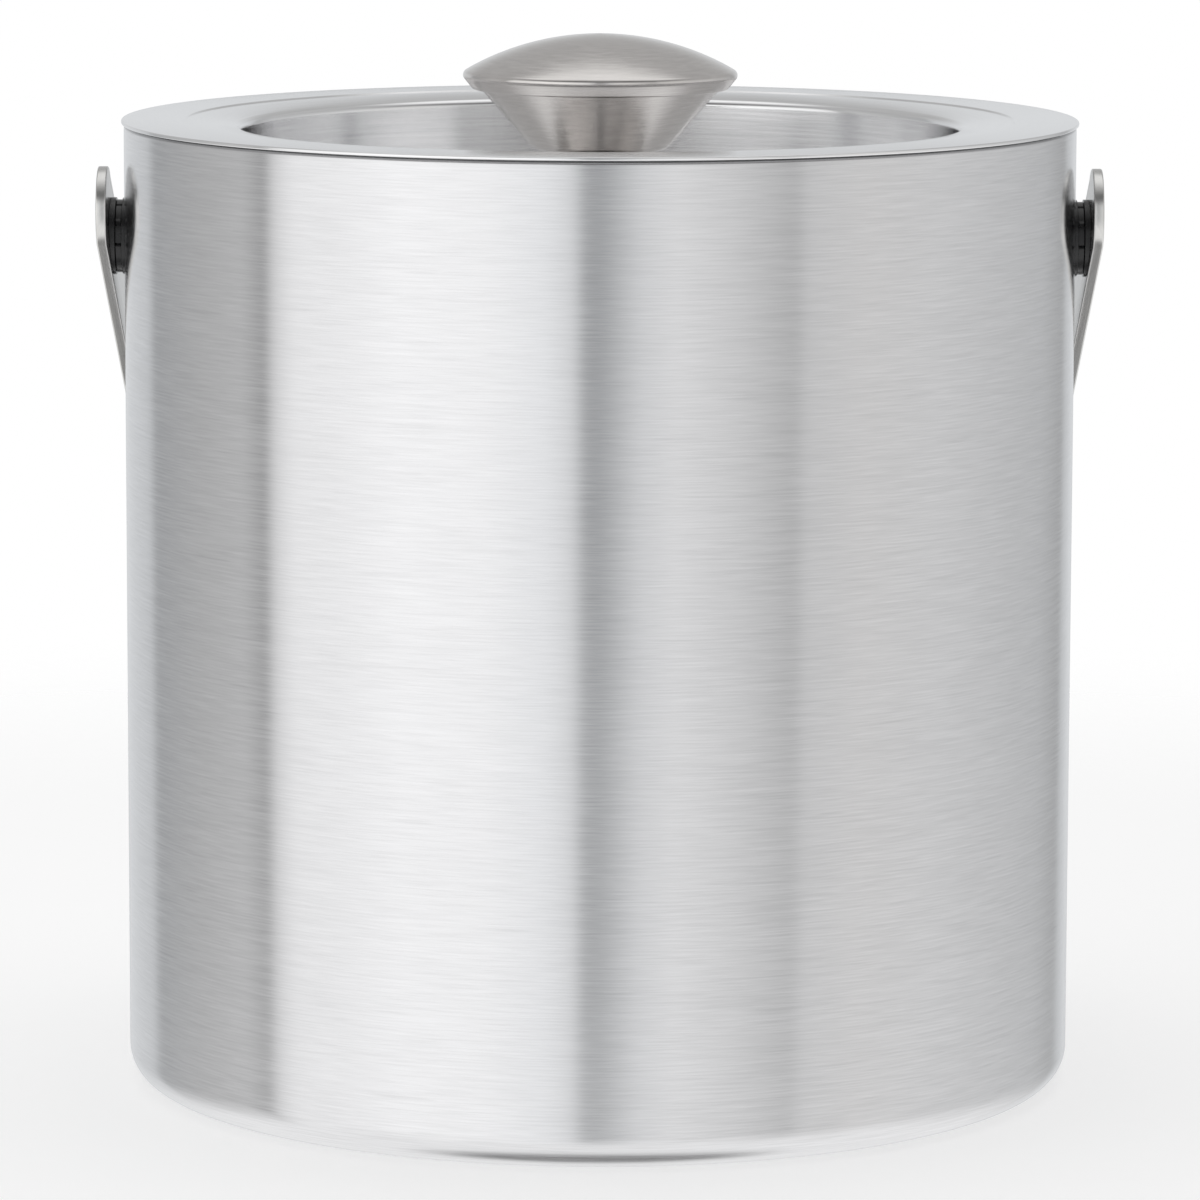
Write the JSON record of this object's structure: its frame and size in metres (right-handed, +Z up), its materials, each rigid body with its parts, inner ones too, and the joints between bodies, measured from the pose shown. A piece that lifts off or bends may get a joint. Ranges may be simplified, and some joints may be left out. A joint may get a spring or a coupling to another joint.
{
  "type": "ice bucket",
  "caption": "Double-walled steel ice bucket with a straight round body, lift-off recessed lid with a domed knob, and a strap bail that swings on side pivots.",
  "frame": {"origin": "centre of the base, on the plane that the bucket stands on", "axes": "+Z up; +X towards the right-hand pivot, seen from the front; +Y towards the back, where the bail hangs at rest"},
  "size_m": [0.1578, 0.1615, 0.1663],
  "materials": {
    "brushed_shell": "brushed round the body",
    "satin_liner": "satin",
    "brushed_lid": "brushed in circles",
    "satin_knob": "satin, brushed in circles",
    "satin_strap": "satin faces, bright rounded ends",
    "bright_fasteners": "bright",
    "black_plastic": "gloss black"
  },
  "bodies": {
    "bucket": {"outer_shell": "brushed_shell", "inner_liner": "satin_liner", "nut_plate_left": "bright_fasteners", "nut_plate_right": "bright_fasteners", "pivot_spacer_left": "black_plastic", "pivot_spacer_right": "black_plastic", "pivot_screw_left": "bright_fasteners", "pivot_screw_right": "bright_fasteners"},
    "bail": {"bail_handle": "satin_strap", "taper_washer_left": "black_plastic", "taper_washer_right": "black_plastic"},
    "lid": {"lid_pan": "brushed_lid", "lid_liner": "satin_liner", "knob_collar": "satin_knob", "knob_cone": "satin_knob", "knob_cap": "satin_knob", "knob_nut": "bright_fasteners", "knob_washer": "bright_fasteners", "knob_screw": "bright_fasteners"}
  },
  "joints": [
    {"name": "bail_swing", "type": "hinge", "parent": "bucket", "child": "bail", "pos_m": [0, 0, 0.1342], "axis": [1, 0, 0], "range_deg": [0, 268]},
    {"name": "lid_lift", "type": "slide", "parent": "bucket", "child": "lid", "axis": [0, 0, 1], "range_m": [0, 0.06]}
  ]
}
